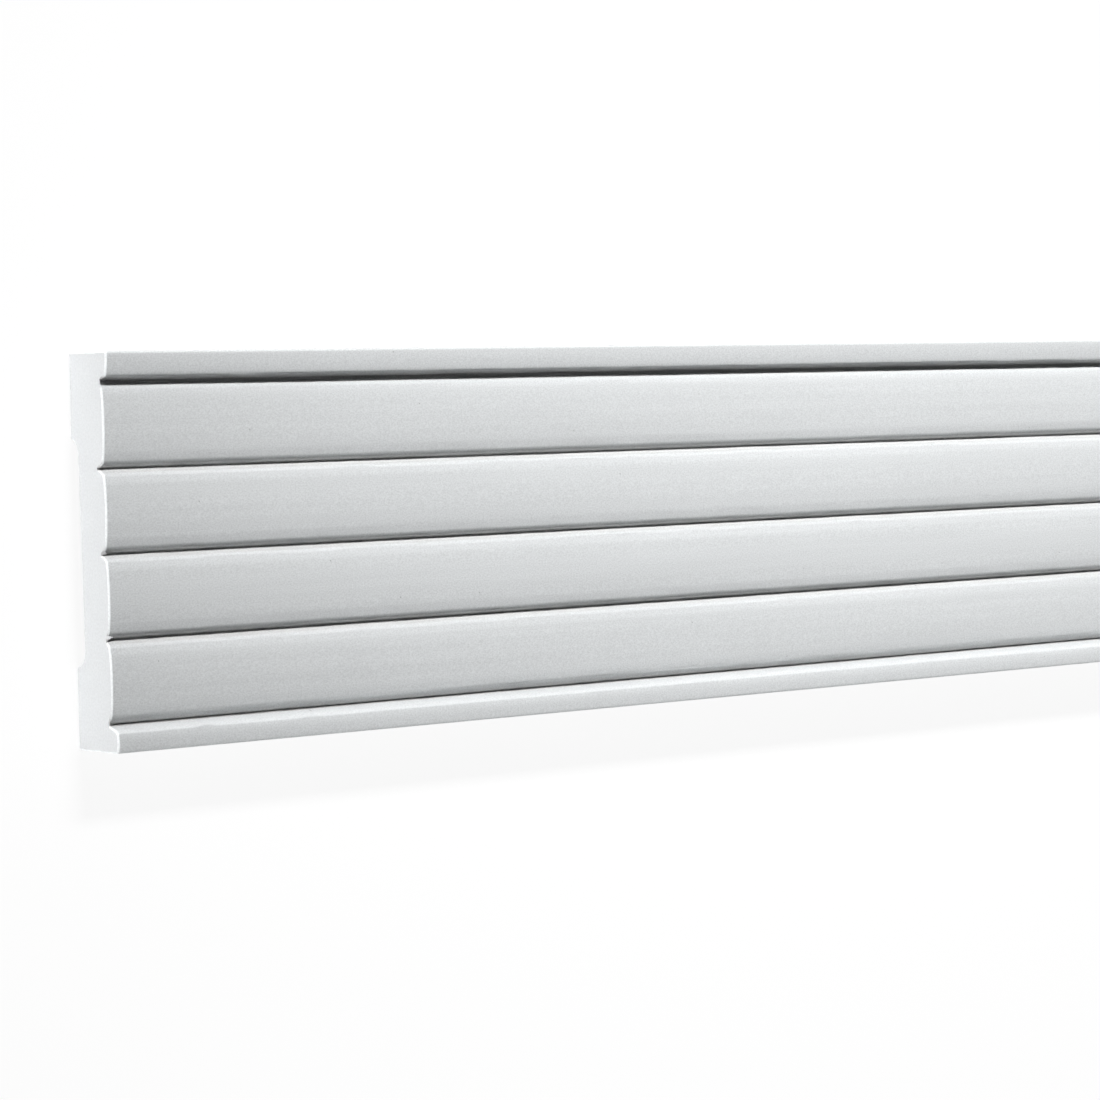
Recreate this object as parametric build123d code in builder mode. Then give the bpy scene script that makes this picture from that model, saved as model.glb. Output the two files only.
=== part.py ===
from build123d import *
import os

# A length of ribbed moulding, cast in one piece in rigid polyurethane.
# It lies on its back. X runs along its length, Y runs up its face as it is fixed on a wall,
# and Z runs out of the wall. The origin is on the back plane, in the middle of length and width.
# All sizes are in millimetres, and depths are measured out from the back plane.

# Stock length, and the heights that add up to the width
length = 2000
top_rail_height = 11.5
rib_count = 4
rib_pitch = 32
lip_height = 10.5

# The ribs: each crown stands a little further out than the one above it. The crowned face ends at
# a margin from the lines of the grooves on both sides, where it has dropped a little.
first_rib_depth = 22.1
rib_step_out = 0.35
crown_margin = 6
crown_drop = 0.41
crown_end_round = 12

# Under each rib but the last, a rolled foot and a steeper throat lead down into a narrow V groove.
# Heights are above the groove's line, and drops are below the crown of the rib.
foot_height = 2.05
foot_drop = 1
foot_round = 2.5
throat_height = 1.1
throat_drop = 2
throat_round = 0.8
groove_depth = 5.2
groove_floor_top = -0.1
groove_floor_width = 0.35

# The last rib rolls away more slowly, down to the groove above the ledge
last_foot_height = 3.5
last_foot_drop = 0.8
last_foot_round = 4
last_roll_height = 2.2
last_roll_drop = 1.5
last_roll_round = 3
last_throat_height = 0.8
last_throat_drop = 2.8
last_throat_round = 0.5
last_groove_floor_top = 0.2

# A chamfer comes out of the groove above each rib but the first, and turns over a shoulder.
# These runs are below the groove's line.
chamfer_start_run = 0.8
chamfer_start_drop = 3.9
chamfer_run = 2.2
chamfer_drop = 1.4
chamfer_round = 1
shoulder_run = 3.1
shoulder_drop = 0.9
shoulder_round = 2

# The first rib has a shorter chamfer, because the groove under the top rail is shallower
first_chamfer_start_run = 1.15
first_chamfer_start_drop = 2.2
first_chamfer_run = 2.4
first_chamfer_drop = 0.85
first_chamfer_round = 1.5
first_shoulder_run = 4.5
first_shoulder_drop = 0.45

# The top rail overhangs the first groove, and its face leans back a little on its way down
top_rail_depth = 24.9
top_rail_lean = 0.9
top_rail_crown = 0.35
top_rail_upper_round = 1
top_rail_lower_round = 1.3
top_rail_undercut = 2.3
top_throat_height = 1.1
top_throat_depth = 3
top_groove_depth = 3.9
top_groove_floor_top = 0.7
top_groove_floor_width = 0.9

# The lip along the lower edge, with a ledge that rises steeply to it from the last groove
ledge_start_run = 0.4
ledge_start_drop = 3.2
ledge_run = 1.8
ledge_drop = 1.55
ledge_round = 1.5
lip_depth = 26.35
lip_lean = 0.35
lip_crown = 0.42
lip_face_height = 7.6
lip_upper_round = 0.9
lip_lower_round = 1.2

# The back is hollowed between two flat lands, and only the lands bear on the wall
upper_land_height = 32.4
lower_land_height = 31.3
recess_depth_at_top = 4.4
recess_depth_at_bottom = 5.6
recess_shoulder_run = 6.5
back_edge_round = 0.8

width = top_rail_height + rib_count * rib_pitch + lip_height
upper_edge = width / 2
lower_edge = -width / 2
rounded_corners = []


def crown_depth(rib):
    """How far the crown of a rib stands out, with the ribs counted down from 0."""
    return first_rib_depth + rib * rib_step_out


def groove_line(rib):
    """The height of the groove above a rib, or of the one above the ledge, after the last rib."""
    return upper_edge - top_rail_height - rib * rib_pitch


def corner(height, depth, radius=0):
    """A corner of the outline. One that has a round is noted, for its fillet."""
    if radius:
        rounded_corners.append(((height, depth), radius))
    return (height, depth)


def rib_top(rib):
    """The corners of a rib from the groove above it to the start of its crowned face."""
    crown, line = crown_depth(rib), groove_line(rib)
    if rib == 0:
        return [
            corner(line - first_chamfer_start_run, crown - first_chamfer_start_drop),
            corner(line - first_chamfer_run, crown - first_chamfer_drop, first_chamfer_round),
            corner(line - first_shoulder_run, crown - first_shoulder_drop, crown_end_round),
        ]
    return [
        corner(line - chamfer_start_run, crown - chamfer_start_drop),
        corner(line - chamfer_run, crown - chamfer_drop, chamfer_round),
        corner(line - shoulder_run, crown - shoulder_drop, shoulder_round),
        corner(line - crown_margin, crown - crown_drop, crown_end_round),
    ]


def rib_bottom(rib):
    """The corners of a rib from the end of its crowned face to the bottom of the groove below it."""
    crown, line = crown_depth(rib), groove_line(rib + 1)
    face_end = corner(line + crown_margin, crown - crown_drop, crown_end_round)
    if rib == rib_count - 1:
        return [
            face_end,
            corner(line + last_foot_height, crown - last_foot_drop, last_foot_round),
            corner(line + last_roll_height, crown - last_roll_drop, last_roll_round),
            corner(line + last_throat_height, crown - last_throat_drop, last_throat_round),
            corner(line + last_groove_floor_top, crown - groove_depth),
            corner(line + last_groove_floor_top - groove_floor_width, crown - groove_depth),
        ]
    return [
        face_end,
        corner(line + foot_height, crown - foot_drop, foot_round),
        corner(line + throat_height, crown - throat_drop, throat_round),
        corner(line + groove_floor_top, crown - groove_depth),
        corner(line + groove_floor_top - groove_floor_width, crown - groove_depth),
    ]


def crowned_face(start, end, rise):
    """A face from start to end that bulges out from the wall by the rise."""
    middle = ((start[0] + end[0]) / 2, (start[1] + end[1]) / 2 + rise)
    return ThreePointArc(start, middle, end)


# The corners of the top rail and its groove, of the ledge and lip, and of the back
rail_upper_corner = corner(upper_edge, top_rail_depth, top_rail_upper_round)
rail_lower_corner = corner(
    groove_line(0) + top_rail_undercut, top_rail_depth - top_rail_lean, top_rail_lower_round
)
rail_throat = (groove_line(0) + top_throat_height, rail_lower_corner[1] - top_throat_depth)
top_groove_start = (groove_line(0) + top_groove_floor_top, crown_depth(0) - top_groove_depth)
top_groove_end = (top_groove_start[0] - top_groove_floor_width, top_groove_start[1])
last_line, last_crown = groove_line(rib_count), crown_depth(rib_count - 1)
ledge_start = (last_line - ledge_start_run, last_crown - ledge_start_drop)
ledge_corner = corner(last_line - ledge_run, lip_depth - ledge_drop, ledge_round)
lip_upper_corner = corner(lower_edge + lip_face_height, lip_depth, lip_upper_round)
lip_lower_corner = corner(lower_edge, lip_depth - lip_lean, lip_lower_round)
upper_land_corner = (upper_edge - upper_land_height, 0)
lower_land_corner = (lower_edge + lower_land_height, 0)
recess_top = (upper_land_corner[0] - recess_shoulder_run, recess_depth_at_top)
recess_bottom = (lower_land_corner[0] + recess_shoulder_run, recess_depth_at_bottom)
back_upper_corner = corner(upper_edge, 0, back_edge_round)
back_lower_corner = corner(lower_edge, 0, back_edge_round)

with BuildPart() as moulding:
    # The section, seen from the end: down the face from the upper edge, then up the back
    with BuildSketch(Plane.YZ) as section:
        with BuildLine():
            Line(back_upper_corner, rail_upper_corner)
            crowned_face(rail_upper_corner, rail_lower_corner, top_rail_crown)
            Polyline(rail_lower_corner, rail_throat, top_groove_start, top_groove_end)
            groove_bottom = top_groove_end
            for rib in range(rib_count):
                top_corners, bottom_corners = rib_top(rib), rib_bottom(rib)
                Polyline(groove_bottom, *top_corners)
                crowned_face(top_corners[-1], bottom_corners[0], crown_drop)
                Polyline(*bottom_corners)
                groove_bottom = bottom_corners[-1]
            Polyline(groove_bottom, ledge_start, ledge_corner, lip_upper_corner)
            crowned_face(lip_upper_corner, lip_lower_corner, lip_crown)
            Polyline(lip_lower_corner, back_lower_corner, lower_land_corner)
            floor = Line(recess_bottom, recess_top)
            TangentArc(recess_bottom, lower_land_corner, tangent=-(floor % 0))
            TangentArc(recess_top, upper_land_corner, tangent=floor % 1)
            Line(upper_land_corner, back_upper_corner)
        make_face()
        for place, radius in rounded_corners:
            fillet(section.vertices().sort_by_distance(place)[0], radius)
    extrude(amount=length / 2, both=True)

moulding.part.label = "moulding"

os.makedirs("parts", exist_ok=True)
export_step(moulding.part, "parts/moulding.step")
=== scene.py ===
import bmesh
import bpy
from math import radians, tan
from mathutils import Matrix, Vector


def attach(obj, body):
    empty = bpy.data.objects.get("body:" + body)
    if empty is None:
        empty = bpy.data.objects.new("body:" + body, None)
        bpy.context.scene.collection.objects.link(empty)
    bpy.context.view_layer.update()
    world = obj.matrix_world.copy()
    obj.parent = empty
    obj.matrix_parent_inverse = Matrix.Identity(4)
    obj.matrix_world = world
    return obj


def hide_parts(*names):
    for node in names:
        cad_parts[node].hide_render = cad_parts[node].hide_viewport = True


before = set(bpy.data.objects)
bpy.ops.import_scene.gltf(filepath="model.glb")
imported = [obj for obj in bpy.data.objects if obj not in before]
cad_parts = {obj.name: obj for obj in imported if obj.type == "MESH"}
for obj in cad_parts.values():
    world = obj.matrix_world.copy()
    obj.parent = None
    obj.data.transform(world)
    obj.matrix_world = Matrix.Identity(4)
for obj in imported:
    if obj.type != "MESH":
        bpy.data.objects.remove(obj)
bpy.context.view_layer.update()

# The moulding is one straight length, cast in rigid polyurethane foam and primed white in the mould.
# It lies on its back, with its ribs up. Its section is drawn point by point up the back and down the
# face, its corners are rounded as the mould rounds them, and it is then pulled along its length.
mm = 0.001
half_length = 1000 * mm
half_width = 75 * mm
arris = 0.6 * mm
rib_count = 4
rib_pitch = 32 * mm
first_line = 63.5 * mm
first_rib_depth = 22.1 * mm
rib_step_out = 0.35 * mm
crown_margin = 6 * mm
crown_drop = 0.41 * mm
crown_round = 12 * mm

bpy.ops.object.select_all(action="DESELECT")
bpy.ops.mesh.primitive_plane_add(size=mm)
moulding = bpy.context.object
moulding.name = "ribbed_moulding"
bpy.ops.object.mode_set(mode="EDIT")
bpy.ops.mesh.merge(type="CENTER")
pen = Vector((arris - half_length, -half_width, 0))
bpy.ops.transform.translate(value=pen)
rounds = []


def draw_to(height, depth, radius=0):
    """Draws the outline on in a straight line, from its last point, and notes the corner's round."""
    step = (0, height - pen.y, depth - pen.z)
    bpy.ops.mesh.extrude_vertices_move(TRANSFORM_OT_translate={"value": step})
    pen.yz = height, depth
    if radius:
        rounds.append((height, depth, radius))


def bow_to(height, depth, rise, steps, radius=0):
    """Draws the outline on in a shallow arc, which bulges out of the body by the rise."""
    start = pen.copy()
    run = Vector((0, height - start.y, depth - start.z))
    outward = Vector((0, run.z, -run.y)).normalized()
    for step in range(1, steps + 1):
        t = step / steps
        point = start + run * t + outward * rise * 4 * t * (1 - t)
        draw_to(point.y, point.z)
    if radius:
        rounds.append((height, depth, radius))


# The back, up from the lower edge: a land, the shallow hollow with its curved shoulders, and a land
lower_land_end = -43.7 * mm
upper_land_end = 42.6 * mm
shoulder_run = 6.5 * mm
back_round = 0.8 * mm
rounds.append((-half_width, 0, back_round))
draw_to(lower_land_end, 0)
bow_to(lower_land_end + shoulder_run, 5.6 * mm, rise=-1.6 * mm, steps=8)
draw_to(upper_land_end - shoulder_run, 4.4 * mm)
bow_to(upper_land_end, 0, rise=-1.2 * mm, steps=8)
draw_to(half_width, 0, radius=back_round)
# The top rail leans back on its way down, and its lower edge is undercut over the first groove
draw_to(half_width, 24.9 * mm, radius=1.0 * mm)
bow_to(65.8 * mm, 24.0 * mm, rise=0.35 * mm, steps=6, radius=1.3 * mm)
draw_to(64.6 * mm, 21.0 * mm)
draw_to(64.2 * mm, 18.2 * mm)
draw_to(63.3 * mm, 18.2 * mm)
# Each rib has a chamfer and a shoulder above its crowned face, and a rolled foot and a groove below it.
# Their corners are given in millimetres, as runs down from the line of the groove above the rib or up
# from that of the one below it, with their drops below the crown, and their rounds.
chamfer_under_rail = ((1.15, 2.2, 0), (2.4, 0.85, 1.5), (4.5, 0.45, 12))
chamfer = ((0.8, 3.9, 0), (2.2, 1.4, 1.0), (3.1, 0.9, 2.0), (6, 0.41, 12))
foot = ((2.05, 1.0, 2.5), (1.1, 2.0, 0.8), (-0.1, 5.2, 0), (-0.45, 5.2, 0))
last_foot = ((3.5, 0.8, 4.0), (2.2, 1.5, 3.0), (0.8, 2.8, 0.5), (0.2, 5.2, 0), (-0.15, 5.2, 0))
for rib in range(rib_count):
    top = first_line - rib * rib_pitch
    bottom = top - rib_pitch
    crown = first_rib_depth + rib * rib_step_out
    upper_corners = chamfer if rib > 0 else chamfer_under_rail
    lower_corners = foot if rib < rib_count - 1 else last_foot
    for run, drop, radius in upper_corners:
        draw_to(top - run * mm, crown - drop * mm, radius * mm)
    bow_to(bottom + crown_margin, crown - crown_drop, rise=crown_drop, steps=8, radius=crown_round)
    for run, drop, radius in lower_corners:
        draw_to(bottom + run * mm, crown - drop * mm, radius * mm)
# The ledge slopes out of the last groove to the lip, whose face leans back a little
draw_to(-64.9 * mm, 19.95 * mm)
draw_to(-66.3 * mm, 24.8 * mm, radius=1.5 * mm)
draw_to(-67.4 * mm, 26.35 * mm, radius=0.9 * mm)
bow_to(-half_width, 26.0 * mm, rise=0.415 * mm, steps=6, radius=1.2 * mm)
draw_to(-half_width, 0)
bpy.ops.mesh.select_all(action="SELECT")
bpy.ops.mesh.remove_doubles(threshold=0.001 * mm)
bpy.ops.mesh.edge_face_add()


def pick(test, kind="VERT"):
    """Selects the points, edges or faces of the moulding that pass the test, and nothing else."""
    bpy.ops.mesh.select_mode(type=kind)
    bpy.ops.mesh.select_all(action="DESELECT")
    mesh = bmesh.from_edit_mesh(moulding.data)
    parts = {"VERT": mesh.verts, "EDGE": mesh.edges, "FACE": mesh.faces}[kind]
    for part in parts:
        part.select = test(part)
    mesh.select_flush_mode()
    bmesh.update_edit_mesh(moulding.data)


def round_corner(height, depth, radius, segments):
    """Rounds the corner of the outline that stands at this point."""
    corner_place = Vector((pen.x, height, depth))
    pick(lambda point: (point.co - corner_place).length < 0.01 * mm)
    mesh = bmesh.from_edit_mesh(moulding.data)
    corner = next(point for point in mesh.verts if point.select)
    before, after = [edge.other_vert(corner).co - corner.co for edge in corner.link_edges]
    turn = before.angle(-after)
    cut_back = radius * tan(turn / 2)
    bpy.ops.mesh.bevel(offset_type="ABSOLUTE", offset=cut_back, segments=segments, affect="VERTICES")


for height, depth, radius in rounds:
    round_corner(height, depth, radius, 3 if radius > crown_round / 2 else 5)

# The length is pulled out of the section, in a finely sliced stretch of 550 mm at the left end and a
# coarser one to the right end, and both sawn ends have a fine broken arris
fine_end = -450 * mm
pick(lambda face: True, "FACE")
for stop in (fine_end, half_length - arris):
    bpy.ops.mesh.extrude_region_move(TRANSFORM_OT_translate={"value": (stop - pen.x, 0, 0)})
    pen.x = stop
bpy.ops.mesh.select_all(action="SELECT")
bpy.ops.mesh.normals_make_consistent(inside=False)
pick(lambda face: abs(face.normal.x) > 0.99, "FACE")
bpy.ops.mesh.inset(thickness=arris, depth=arris, use_even_offset=True)


def slice_length(left, right, cuts):
    """Cuts up the edges that run along the length between these two stations."""
    def runs_between(edge):
        start, end = sorted(point.co.x for point in edge.verts)
        return end - start > 2 * mm and start > left - mm and end < right + mm

    pick(runs_between, "EDGE")
    bpy.ops.mesh.subdivide(number_cuts=cuts)


# Each stretch is cut into tenths, and then each tenth again
for cuts in (9, 19):
    slice_length(-half_length, fine_end, cuts)
for cuts in (9, 13):
    slice_length(fine_end, half_length, cuts)


def fill_groove(side, height, reach, depth):
    """Lifts the bottom of a groove to this depth at a sawn end, where a burr of torn foam fills it."""
    def in_groove_end(point):
        at_this_end = point.co.x * side > half_length - 1.5 * arris
        return at_this_end and abs(point.co.y - height) < reach and 15 * mm < point.co.z < depth

    pick(in_groove_end)
    bpy.ops.transform.resize(value=(1, 1, 0), center_override=(0, 0, depth))


# The depths to which burrs fill the grooves at the left and the right end, in millimetres, from the top
# groove down
left_burrs = (20.6, 17.4, 18.5, 20.3, 20.5)
right_burrs = (19.6, 18.3, 19.0, 18.1, 19.4)
for side, burrs in ((-1, left_burrs), (1, right_burrs)):
    for groove, burr_depth in enumerate(burrs):
        groove_middle = (63.6 - 32 * groove) * mm
        fill_groove(side, groove_middle, reach=1.8 * mm, depth=burr_depth * mm)


def pull_crumb(height, depth, lift):
    """Pulls the point of the left end's arris that is nearest to this place out into a torn crumb."""
    crumb_place = Vector((arris - half_length, height, depth))
    mesh = bmesh.from_edit_mesh(moulding.data)
    nearest = min(mesh.verts, key=lambda point: (point.co - crumb_place).length)
    pick(lambda point: point == nearest)
    bpy.ops.transform.translate(value=lift)


# One crumb stands in the third groove, and two in the fourth
pull_crumb(-0.2 * mm, 18.5 * mm, lift=(1.0 * mm, 0.1 * mm, 1.6 * mm))
pull_crumb(-31.7 * mm, 20.3 * mm, lift=(1.3 * mm, 0.1 * mm, 1.3 * mm))
pull_crumb(-32.4 * mm, 20.3 * mm, lift=(0.4 * mm, 0.3 * mm, 1.1 * mm))


def uneven(test, strength, cloud_size, shift):
    """Pushes the points that pass the test in and out along their normals, in clouds of this size."""
    pick(test)
    bpy.ops.object.vertex_group_assign_new()
    bpy.ops.object.mode_set(mode="OBJECT")
    bpy.ops.object.empty_add(location=(shift, 0, 0))
    field = bpy.context.object
    field.scale = cloud_size
    bpy.ops.object.select_all(action="DESELECT")
    bpy.context.view_layer.objects.active = moulding
    moulding.select_set(True)
    clouds = bpy.data.textures.new("uneven", "CLOUDS")
    clouds.noise_scale = 1
    clouds.noise_depth = 1
    push = moulding.modifiers.new("uneven", "DISPLACE")
    push.texture = clouds
    push.texture_coords = "OBJECT"
    push.texture_coords_object = field
    push.strength = strength
    push.mid_level = 0.5
    push.vertex_group = moulding.vertex_groups[0].name
    bpy.ops.object.modifier_apply(modifier=push.name)
    moulding.vertex_groups.clear()
    bpy.data.objects.remove(field)
    bpy.data.textures.remove(clouds)
    bpy.ops.object.mode_set(mode="EDIT")


def on_ribs(point):
    """True on the ribs and grooves of the face, short of the sawn ends' own faces."""
    off_end = abs(point.co.x) < half_length - arris / 2
    return off_end and point.co.z > 16 * mm and -66.5 * mm < point.co.y < 66 * mm


def in_a_groove(point):
    """True within 3 mm of the line of a groove."""
    off_line = (first_line - point.co.y + rib_pitch / 2) % rib_pitch - rib_pitch / 2
    return on_ribs(point) and abs(off_line) < 3 * mm


def on_lip_arris(point):
    """True along the upper arris of the lip, short of the sawn ends' own faces."""
    off_end = abs(point.co.x) < half_length - arris / 2
    return off_end and point.co.z > 25.4 * mm and -68.4 * mm < point.co.y < -66.3 * mm


# The mould and the skin of the foam are never quite true, least of all in the narrow grooves
uneven(on_ribs, strength=0.14 * mm, cloud_size=(80 * mm, 30 * mm, 30 * mm), shift=0.31)
uneven(in_a_groove, strength=0.34 * mm, cloud_size=(22 * mm, 9 * mm, 9 * mm), shift=0.77)
uneven(on_lip_arris, strength=0.22 * mm, cloud_size=(14 * mm, 8 * mm, 8 * mm), shift=0.52)


def raise_lump(station, lift):
    """Lifts a small lump on the upper arris of the lip, at this distance from the left end."""
    middle = station - half_length

    def under_lump(point):
        on_arris = -68.0 * mm < point.co.y < -66.6 * mm and point.co.z > 25.3 * mm
        return on_arris and abs(point.co.x - middle) < 2.6 * mm

    pick(under_lump)
    bpy.ops.transform.translate(value=(0, lift, -0.1 * mm), use_proportional_edit=True,
                                proportional_edit_falloff="SMOOTH", proportional_size=4 * mm)


raise_lump(41 * mm, 0.55 * mm)
raise_lump(89 * mm, 0.25 * mm)
bpy.ops.object.mode_set(mode="OBJECT")
bpy.ops.object.shade_smooth_by_angle(angle=radians(25))

# The primer is sprayed into the mould, and is a matt white with a fine grain, faint long streaks from
# the release film and a few pin holes. Shade is painted into its colour, darker and a touch warmer down
# in the narrow grooves, and a painted highlight makes the broken edge at the sawn ends whiter.
primer = bpy.data.materials.new("white_primer")
primer.use_nodes = True
nodes = primer.node_tree.nodes
links = primer.node_tree.links
shader = nodes["Principled BSDF"]
shader.inputs["Specular IOR Level"].default_value = 0.35
on_piece = nodes.new("ShaderNodeTexCoord")


def math_node(operation, first, second=None):
    """A sum with one or two values, where each is a number or the output of another node."""
    node = nodes.new("ShaderNodeMath")
    node.operation = operation
    for socket, value in zip(node.inputs, (first, second)):
        if isinstance(value, (int, float)):
            socket.default_value = value
        elif value is not None:
            links.new(value, socket)
    return node.outputs[0]


def product(first, *others):
    """All these values times each other."""
    for other in others:
        first = math_node("MULTIPLY", first, other)
    return first


def noise_node(stretch, detail, rough=0.5):
    """Cloudy noise on the moulding's own coordinates, with this many clouds a metre along each axis."""
    spread = nodes.new("ShaderNodeMapping")
    spread.inputs["Scale"].default_value = stretch
    links.new(on_piece.outputs["Object"], spread.inputs["Vector"])
    noise = nodes.new("ShaderNodeTexNoise")
    noise.inputs["Scale"].default_value = 1
    noise.inputs["Detail"].default_value = detail
    noise.inputs["Roughness"].default_value = rough
    links.new(spread.outputs[0], noise.inputs["Vector"])
    return noise.outputs["Fac"]


def ramp_node(value, start, end, low=0.0, high=1.0):
    """Runs from low to high while the value runs from start to end."""
    ramp = nodes.new("ShaderNodeMapRange")
    for name, number in (("From Min", start), ("From Max", end), ("To Min", low), ("To Max", high)):
        ramp.inputs[name].default_value = number
    links.new(value, ramp.inputs["Value"])
    return ramp.outputs["Result"]


def pin_holes(cells, radius, flat):
    """Round holes, one for each cell of the face if flat, or of the solid, as 1 inside and 0 outside."""
    spread = nodes.new("ShaderNodeTexVoronoi")
    spread.voronoi_dimensions = "2D" if flat else "3D"
    spread.inputs["Scale"].default_value = cells
    links.new(on_piece.outputs["Object"], spread.inputs["Vector"])
    return ramp_node(spread.outputs["Distance"], radius * cells, 0.4 * radius * cells)


def set_colour(base, shade):
    """Gives the shader the base colour, made lighter or darker by the shade."""
    tint = nodes.new("ShaderNodeVectorMath")
    tint.operation = "SCALE"
    if isinstance(base, tuple):
        tint.inputs[0].default_value = base
    else:
        links.new(base, tint.inputs[0])
    links.new(shade, tint.inputs["Scale"])
    links.new(tint.outputs[0], shader.inputs["Base Color"])


def set_relief(height_map, rise):
    """Gives the shader a fine relief, where a step of 1 in the map stands up by the rise in metres."""
    bump = nodes.new("ShaderNodeBump")
    bump.inputs["Distance"].default_value = rise
    links.new(height_map, bump.inputs["Height"])
    links.new(bump.outputs[0], shader.inputs["Normal"])


grain = noise_node((1300, 1800, 1800), detail=2, rough=0.6)
streaks = noise_node((6, 260, 260), detail=2)
patches = noise_node((12, 28, 28), detail=2)
holes = pin_holes(cells=17, radius=0.4 * mm, flat=True)
axes = nodes.new("ShaderNodeSeparateXYZ")
links.new(on_piece.outputs["Object"], axes.inputs[0])
along, up, out = axes.outputs
# Each point's own rib, how far it is below that rib's crown, and how far down the face from the groove
ribs_down = math_node("DIVIDE", math_node("SUBTRACT", first_line, up), rib_pitch)
below_line = product(math_node("FRACT", ribs_down), rib_pitch)
own_rib = math_node("MAXIMUM", math_node("FLOOR", ribs_down), 0)
own_rib = math_node("MINIMUM", own_rib, rib_count - 1)
own_crown = math_node("ADD", product(own_rib, rib_step_out), first_rib_depth)
below_crown = math_node("SUBTRACT", own_crown, out)
# The regions of the coat, as 1 inside and 0 outside, with soft borders; most mark painted shade or
# highlight
on_face = product(ramp_node(out, 15 * mm, 16 * mm), ramp_node(up, -67 * mm, -66 * mm))
under_rail = product(ramp_node(up, 62.4 * mm, 63.0 * mm), ramp_node(up, 66.5 * mm, 66 * mm))
# Painted shadow in the slot under the rail, where the rail's shadow falls
painted_slot_shadow = product(under_rail, ramp_node(out, 23.6 * mm, 21.6 * mm), on_face)
# Painted shade in the grooves, left off the first part of each chamfer
past_groove = ramp_node(below_line, 0.4 * mm, 0.8 * mm)
chamfer_start = product(past_groove, ramp_node(below_line, 1.8 * mm, 1.2 * mm))
under_slot = ramp_node(up, 62.6 * mm, 62.0 * mm)
painted_groove_shade = product(ramp_node(below_crown, 0.4 * mm, 2.4 * mm), on_face, under_slot)
painted_groove_shade = product(painted_groove_shade, math_node("SUBTRACT", 1, chamfer_start))
# Painted highlight on the shoulder of each rib, above its chamfer
past_chamfer = ramp_node(below_line, 2.4 * mm, 3.2 * mm)
painted_shoulder_highlight = product(past_chamfer, ramp_node(below_line, 7 * mm, 4 * mm))
painted_shoulder_highlight = product(painted_shoulder_highlight, ramp_node(up, -64 * mm, -60 * mm))
# Painted shade deep in the grooves, stronger in each groove further down
painted_deep_shade = product(ramp_node(below_crown, 2.4 * mm, 3.6 * mm), on_face)
# Painted shade on the ledge above the lip
above_lip = ramp_node(up, -67.4 * mm, -67.0 * mm)
painted_ledge_shade = product(ramp_node(up, -65.0 * mm, -65.4 * mm), above_lip)
# Painted highlight on the broken arrises of the sawn ends
from_middle = math_node("ABSOLUTE", along)
painted_arris_highlight = ramp_node(from_middle, half_length - 1.6 * arris, half_length - 0.8 * arris)


def toned(region, factor):
    """The factor inside a region, and 1 outside it."""
    return ramp_node(region, 0, 1, 1, factor)


# The grain and the streaks lighten and darken the coat, and it is darker in the pin holes. Painted shade
# makes it darker in the grooves, the slot under the rail and on the ledge, and more so in each groove
# further down. Painted highlight makes it lighter on the shoulders, the lip and the broken arrises of
# the ends.
shade = product(
    ramp_node(grain, 0.3, 0.7, 0.885, 1.115),
    ramp_node(streaks, 0.35, 0.65, 0.984, 1.016),
    ramp_node(patches, 0.35, 0.65, 0.994, 1.006),
    toned(holes, 0.72),
    toned(painted_groove_shade, 0.83),
    toned(painted_shoulder_highlight, 1.04),
    math_node("ADD", product(painted_deep_shade, own_rib, -0.045), 1),
    # Painted highlight that lightens the lip
    ramp_node(up, -67.5 * mm, -68.5 * mm, 1, 1.06),
    toned(painted_ledge_shade, 0.925),
    toned(painted_slot_shadow, 0.66),
    toned(painted_arris_highlight, 1.22),
)
# Painted shade tint: the grooves and the slot take a slightly warmer colour
coat_or_painted_crease_tint = nodes.new("ShaderNodeMix")
coat_or_painted_crease_tint.data_type = "RGBA"
coat_or_painted_crease_tint.inputs["A"].default_value = (0.72, 0.738, 0.745, 1)
coat_or_painted_crease_tint.inputs["B"].default_value = (0.737, 0.739, 0.739, 1)
painted_crease_tint = product(ramp_node(below_crown, 1.3 * mm, 2.6 * mm), on_face)
links.new(math_node("MAXIMUM", painted_crease_tint, painted_slot_shadow), coat_or_painted_crease_tint.inputs["Factor"])
set_colour(coat_or_painted_crease_tint.outputs["Result"], shade)
links.new(ramp_node(patches, 0.3, 0.7, 0.56, 0.68), shader.inputs["Roughness"])
relief = math_node("ADD", product(grain, 0.010 * mm), product(streaks, 0.012 * mm))
set_relief(math_node("SUBTRACT", relief, product(holes, 0.15 * mm)), 1)
moulding.data.materials.append(primer)

# The sawn ends show the bare foam, flat and clean as a fine saw leaves it. It is as white as the primer,
# and has very fine open pores with a few pale specks.
foam = bpy.data.materials.new("sawn_foam")
foam.use_nodes = True
nodes = foam.node_tree.nodes
links = foam.node_tree.links
shader = nodes["Principled BSDF"]
shader.inputs["Roughness"].default_value = 0.75
shader.inputs["Specular IOR Level"].default_value = 0.3
on_piece = nodes.new("ShaderNodeTexCoord")
pores = noise_node((1100, 1100, 1100), detail=4, rough=0.65)
specks = pin_holes(cells=260, radius=0.35 * mm, flat=False)
shade = product(ramp_node(pores, 0.3, 0.7, 0.94, 1.06), toned(specks, 1.03))
set_colour((0.735, 0.750, 0.760), shade)
set_relief(pores, 0.015 * mm)
moulding.data.materials.append(foam)
for face in moulding.data.polygons:
    if abs(face.normal.x) > 0.99:
        face.material_index = 1
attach(moulding, "root")
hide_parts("moulding")

# The floor is a plain pale sheet of paper, 30 m square, on which the moulding lies. The camera, mirrors
# and glass see it as white with a soft shadow, and for all other light it is a plain pale grey.
bpy.ops.mesh.primitive_plane_add(size=30)
floor = bpy.context.object
floor.name = "studio_floor"
paper = bpy.data.materials.new("white_paper")
paper.use_nodes = True
nodes = paper.node_tree.nodes
links = paper.node_tree.links
nodes.clear()


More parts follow.
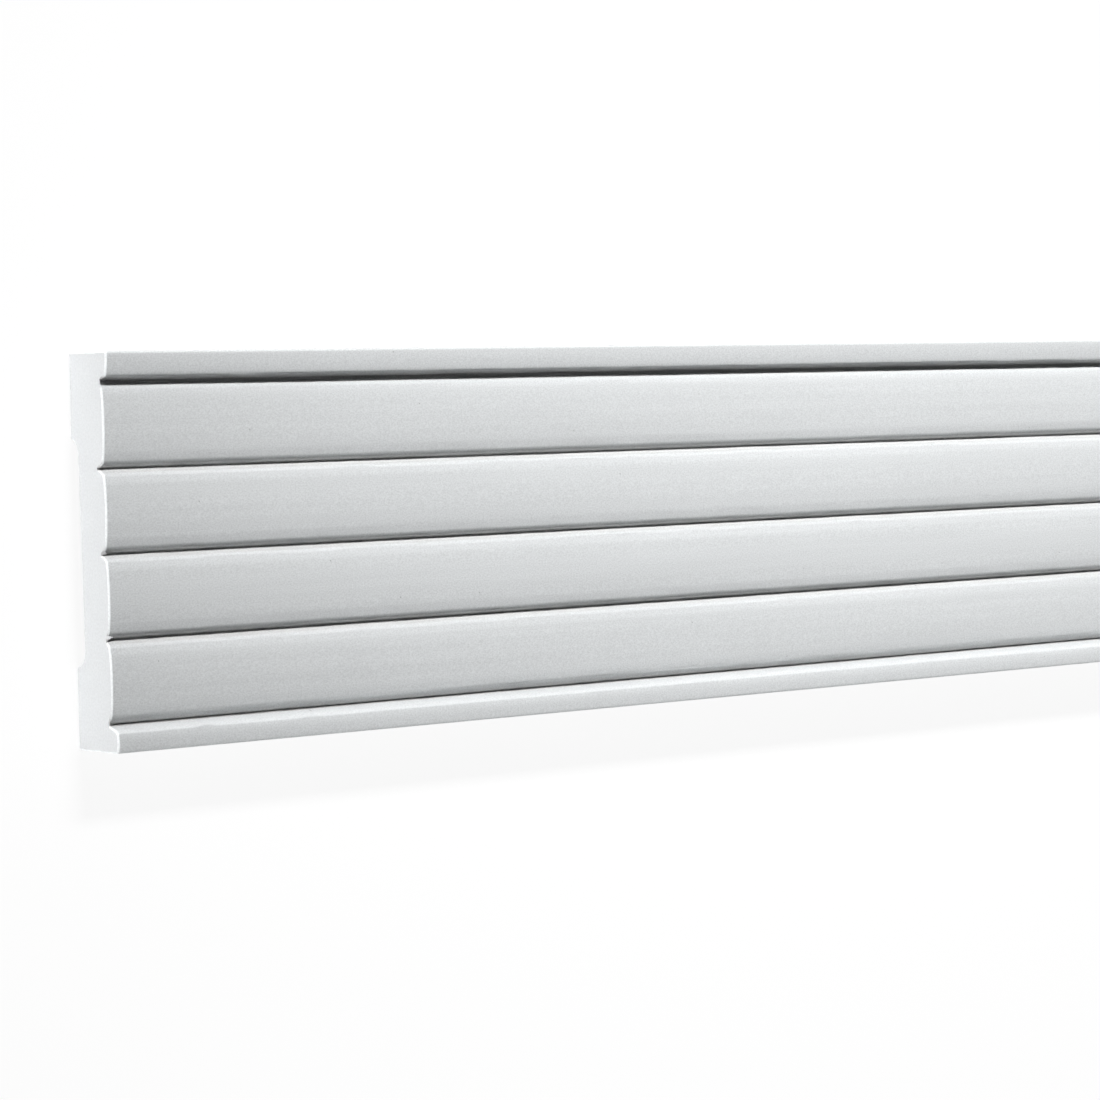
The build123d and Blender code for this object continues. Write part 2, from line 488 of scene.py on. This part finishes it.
def seen_directly():
    """1 where the camera sees a surface, also in a mirror or through glass, and 0 for other light."""
    path = nodes.new("ShaderNodeLightPath")
    seen = math_node("MAXIMUM", path.outputs["Is Camera Ray"], path.outputs["Is Glossy Ray"])
    return math_node("MAXIMUM", seen, path.outputs["Is Transmission Ray"])


def choose_look(for_light, when_seen, output_type):
    """Gives the output one shader for light on its way round the scene, and one for when it is seen."""
    which = nodes.new("ShaderNodeMixShader")
    links.new(seen_directly(), which.inputs["Fac"])
    links.new(for_light.outputs[0], which.inputs[1])
    links.new(when_seen.outputs[0], which.inputs[2])
    output = nodes.new(output_type)
    links.new(which.outputs[0], output.inputs["Surface"])


plain = nodes.new("ShaderNodeBsdfDiffuse")
plain.inputs["Color"].default_value = (0.8, 0.8, 0.8, 1)
shadow = nodes.new("ShaderNodeBsdfDiffuse")
shadow.inputs["Color"].default_value = (0.1, 0.1, 0.1, 1)
glow = nodes.new("ShaderNodeEmission")
glow.inputs["Strength"].default_value = 0.925
white_with_shadow = nodes.new("ShaderNodeAddShader")
links.new(shadow.outputs[0], white_with_shadow.inputs[0])
links.new(glow.outputs[0], white_with_shadow.inputs[1])
choose_look(plain, white_with_shadow, "ShaderNodeOutputMaterial")
floor.data.materials.append(paper)

# The studio behind the floor is a plain white surround. The camera sees it at full white, and it gives
# a very low even light from all round.
world = bpy.data.worlds.new("studio")
bpy.context.scene.world = world
world.use_nodes = True
nodes = world.node_tree.nodes
links = world.node_tree.links
nodes.clear()
ambient = nodes.new("ShaderNodeBackground")
ambient.inputs["Strength"].default_value = 0.01
white = nodes.new("ShaderNodeBackground")
white.inputs["Color"].default_value = (1, 1, 1, 1)
choose_look(ambient, white, "ShaderNodeOutputWorld")


# Four soft boxes light the studio: one high up beyond the top rail, a weak one low over the ribs at
# the left end, one that faces the sawn end, and one that faces the lip
def soft_box(name, place, aim, width, height, power, spread=180):
    """A soft box that faces the point at which it is aimed, with its beam's spread in degrees."""
    bpy.ops.object.light_add(type="AREA", location=place)
    lamp = bpy.context.object
    lamp.name = name
    lamp.data.shape = "RECTANGLE"
    lamp.data.size = width
    lamp.data.size_y = height
    lamp.data.energy = power
    lamp.data.spread = radians(spread)
    lamp.rotation_euler = (Vector(aim) - Vector(place)).to_track_quat("-Z", "Y").to_euler()


soft_box("key_light", place=(0.38, 1.13, 1.13), aim=(0.38, 0, 0),
         width=3.0, height=0.16, power=7.72, spread=40)
soft_box("grazing_light", place=(-1.0, 1.2, 0.28), aim=(-1.0, 0, 0.022),
         width=0.3, height=0.1, power=0.04, spread=25)
soft_box("end_light", place=(-3.0, 0, 0.045), aim=(-1, 0, 0.012), width=0.5, height=0.06, power=31.2)
soft_box("low_fill", place=(-0.6, -2.2, 0.045), aim=(-0.6, 0, 0.012), width=1.6, height=0.06, power=27)

# The camera stands up and to the left of the cut end, with a long lens, and looks down on the face. Its
# focal length is 3807 pixels of a picture that is 1100 pixels wide.
bpy.ops.object.camera_add(location=(-1.791767, 0.055435, 1.207592))
camera = bpy.context.object
camera.rotation_euler = (radians(-1.2648), radians(-40.4290), radians(-1.6698))
camera.data.sensor_width = 36
camera.data.lens = 3807 / 1100 * camera.data.sensor_width
camera.data.clip_start = 0.1
camera.data.clip_end = 100
bpy.context.scene.camera = camera
bpy.context.scene.view_settings.view_transform = "Standard"
